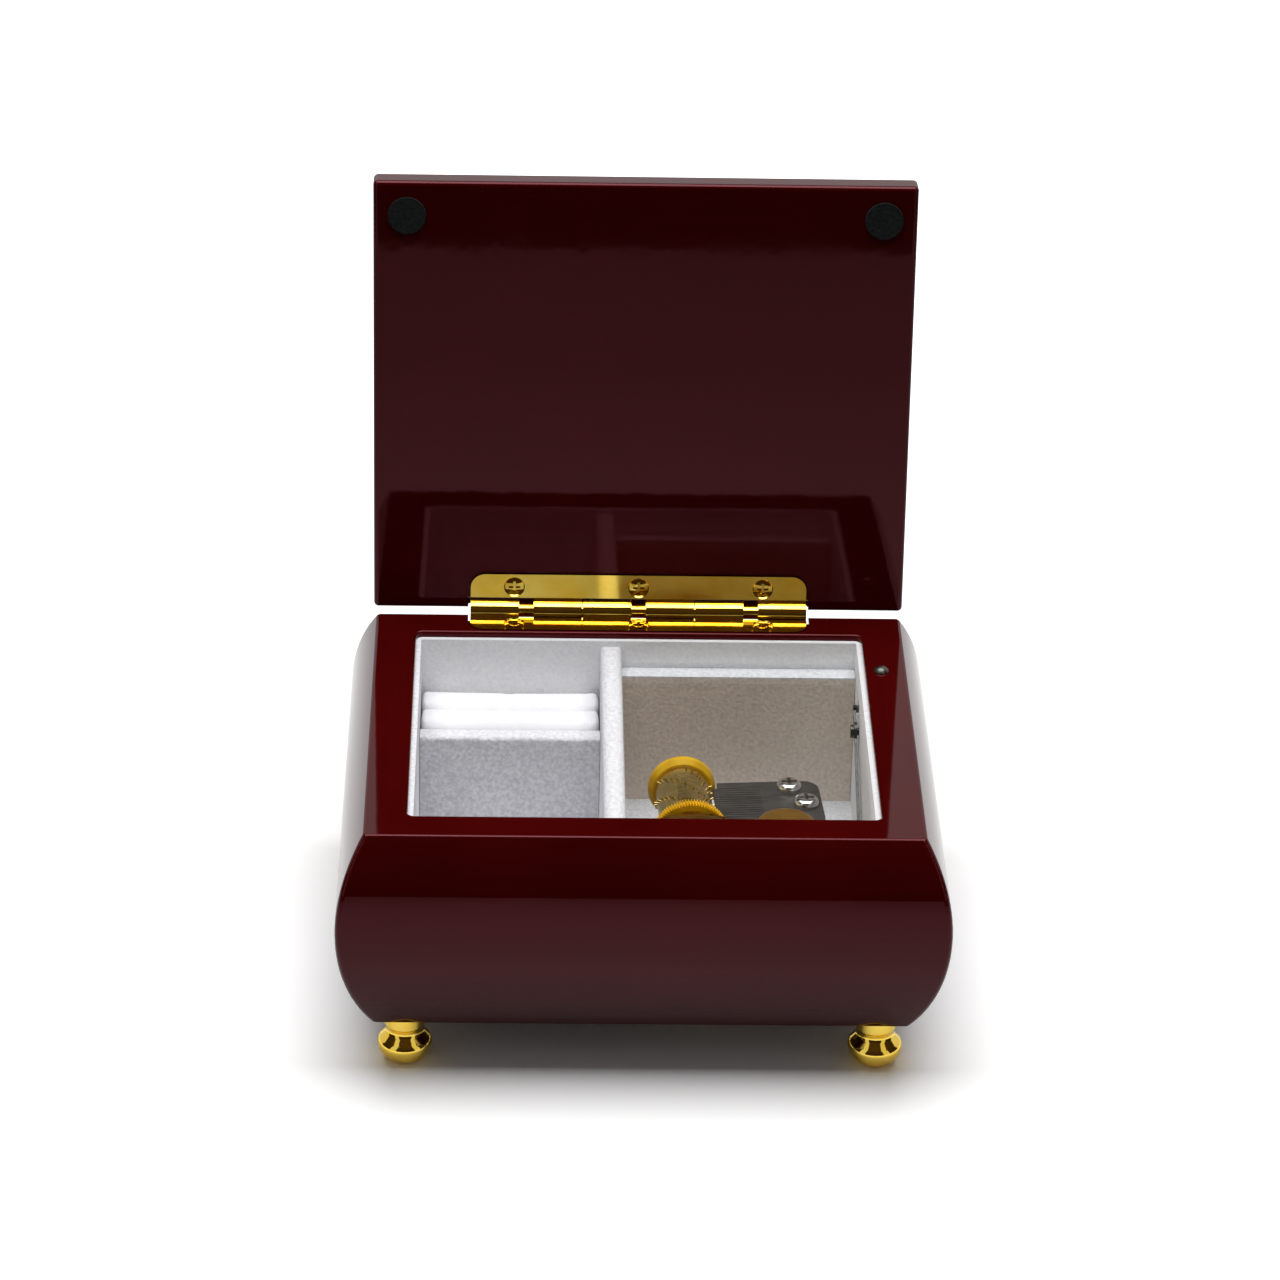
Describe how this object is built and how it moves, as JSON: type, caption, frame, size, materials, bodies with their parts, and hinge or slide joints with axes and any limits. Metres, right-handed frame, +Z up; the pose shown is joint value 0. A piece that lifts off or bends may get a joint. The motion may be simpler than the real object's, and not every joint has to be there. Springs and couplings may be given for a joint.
{
  "type": "music box",
  "caption": "Bow-sided lacquered music box on bun feet, with a hinged lid, a flock-lined tray, a ring cushion and a wind-up comb movement under a clear pane.",
  "frame": {"origin": "on the surface the feet stand on, under the middle of the box with its lid open; the middle of the case is 5.6 mm in front of it", "axes": "+X to the right as seen from the front, +Y towards the hinge, +Z up"},
  "size_m": [0.1248, 0.117, 0.1532],
  "materials": {
    "lacquer": "high-gloss burgundy lacquer",
    "panel": "matt stained board",
    "gold": "polished, gold-plated",
    "flock": "white flocked card",
    "bay_felt": "brown-grey flocked block",
    "satin": "smooth white satin over foam",
    "felt": "black felt",
    "clear": "clear acrylic sheet",
    "steel": "turned steel",
    "screw": "bright plated",
    "comb": "dark brushed spring steel",
    "casting": "die-cast, satin",
    "brass": "turned, satin",
    "amber": "moulded, yellow",
    "brown": "moulded, golden brown",
    "barrel": "golden-brown plated"
  },
  "bodies": {
    "case": {"wall_front": "lacquer", "wall_right": "lacquer", "wall_back": "lacquer", "wall_left": "lacquer", "foot_front_left": "gold", "foot_front_right": "gold", "foot_back_left": "gold", "foot_back_right": "gold", "bottom_panel": "panel", "lining_back": "flock", "lining_front": "flock", "lining_left": "flock", "lining_right": "flock", "lining_floor": "flock", "divider": "flock", "cross_divider": "flock", "ring_cushion": "satin", "bay_ledge_front": "bay_felt", "bay_ledge_back": "bay_felt", "clear_pane": "clear", "hinge_case_leaf": "gold", "hinge_pin": "gold", "hinge_case_screws": "gold", "bed_plate": "casting", "bed_screws": "screw", "comb": "comb", "comb_screws": "screw", "front_bearing": "casting", "rear_bearing": "casting", "click": "steel", "governor_frame": "casting", "governor_hood": "brown", "lever_pivot": "steel"},
    "lid": {"lid_board": "lacquer", "hinge_lid_leaf": "gold", "hinge_lid_screws": "gold", "bumper_left": "felt", "bumper_right": "felt"},
    "winding": {"winding_arbor": "steel", "ratchet_wheel": "steel", "winding_key": "gold"},
    "barrel": {"barrel_cup": "barrel", "crown_gear": "barrel", "barrel_cover": "barrel", "mainspring": "steel"},
    "cylinder": {"pinned_drum": "brass", "drive_gear": "amber", "end_cap": "amber", "cylinder_axle": "steel", "cylinder_pinion": "amber"},
    "governor": {"governor_gear": "amber", "worm_wheel": "amber", "governor_axle": "steel"},
    "fan": {"worm_shaft": "steel", "fan": "steel"},
    "plunger": {"stop_plunger": "screw"},
    "lever": {"stop_lever": "steel"}
  },
  "joints": [
    {"name": "lid_hinge", "type": "hinge", "parent": "case", "child": "lid", "pos_m": [0, 0.04287, 0.057], "axis": [1, 0, 0], "range_deg": [0, 95.6]},
    {"name": "barrel_spin", "type": "hinge", "parent": "case", "child": "barrel", "pos_m": [0.0116, -0.0224, 0.0238], "axis": [0, 0, 1], "continuous": true},
    {"name": "winding_spin", "type": "hinge", "parent": "case", "child": "winding", "pos_m": [0.0116, -0.0224, 0.0184], "axis": [0, 0, 1], "continuous": true},
    {"name": "cylinder_spin", "type": "hinge", "parent": "case", "child": "cylinder", "pos_m": [0.0106, -0.00813, 0.0312], "axis": [0.0698, -0.9976, 0], "continuous": true},
    {"name": "governor_spin", "type": "hinge", "parent": "case", "child": "governor", "pos_m": [0.02281, -0.00728, 0.02792], "axis": [0.0698, -0.9976, 0], "continuous": true},
    {"name": "fan_spin", "type": "hinge", "parent": "case", "child": "fan", "pos_m": [0.03058, -0.01225, 0.0347], "axis": [0, 0, 1], "continuous": true},
    {"name": "plunger_slide", "type": "slide", "parent": "case", "child": "plunger", "axis": [0, 0, 1], "range_m": [-0.00056, 0]},
    {"name": "lever_rock", "type": "hinge", "parent": "case", "child": "lever", "pos_m": [0.0463, 0.01237, 0.04485], "axis": [1, 0, 0], "range_deg": [-6.1, 0]}
  ],
  "couplings": [
    {"joint": "cylinder_spin", "follows": "barrel_spin", "ratio": 3.75},
    {"joint": "governor_spin", "follows": "barrel_spin", "ratio": -6},
    {"joint": "fan_spin", "follows": "barrel_spin", "ratio": 180},
    {"joint": "plunger_slide", "follows": "lid_hinge", "m_per_rad": -0.00032963},
    {"joint": "lever_rock", "follows": "lid_hinge", "ratio": -0.063391}
  ]
}
